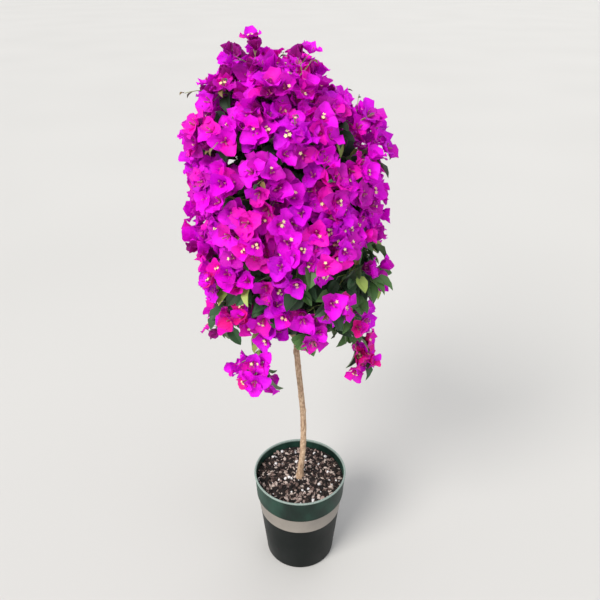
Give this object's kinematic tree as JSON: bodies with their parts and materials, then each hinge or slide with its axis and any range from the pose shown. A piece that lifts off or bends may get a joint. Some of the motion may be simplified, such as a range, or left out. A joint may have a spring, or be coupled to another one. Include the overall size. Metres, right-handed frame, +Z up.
{
  "type": "potted bougainvillea standard",
  "caption": "Flowering shrub grown as a standard: a slim bare stem under a full crown of papery magenta bracts and green leaves, in a tapered dark green nursery pot with a plain pale sleeve.",
  "frame": {"origin": "the middle of the pot's flat underside", "axes": "+Z up along the stem, -Y the front that faces the viewer, +X to the viewer's right"},
  "size_m": [0.4945, 0.5036, 1.4894],
  "materials": {
    "pot_plastic": "blow-moulded polyethylene, dark green with a dull sheen",
    "sleeve_plastic": "thin plain sleeve, dusty grey-beige",
    "potting_mix": "damp dark brown bark mix with white perlite",
    "bark": "pale tan bark, finely fissured",
    "blossom_foliage": "papery vivid magenta bracts over green leaves",
    "leaf_foliage": "smooth mid green leaves with hanging magenta bracts"
  },
  "bodies": {
    "root": {"pot": "pot_plastic", "pot_band": "sleeve_plastic", "potting_mix": "potting_mix", "stem": "bark", "bough_top": "bark", "bough_lower_front_right": "bark", "bough_lower_right": "bark", "bough_lower_back": "bark", "bough_lower_left": "bark", "bough_lower_front_left": "bark", "bough_upper_front": "bark", "bough_upper_right": "bark", "bough_upper_back": "bark", "bough_upper_left": "bark", "foliage_lower_front_right": "leaf_foliage", "foliage_lower_right": "leaf_foliage", "foliage_lower_back": "leaf_foliage", "foliage_lower_left": "leaf_foliage", "foliage_lower_front_left": "leaf_foliage", "foliage_upper_front": "blossom_foliage", "foliage_upper_right": "blossom_foliage", "foliage_upper_back": "blossom_foliage", "foliage_upper_left": "blossom_foliage", "foliage_top": "blossom_foliage"}
  },
  "joints": []
}
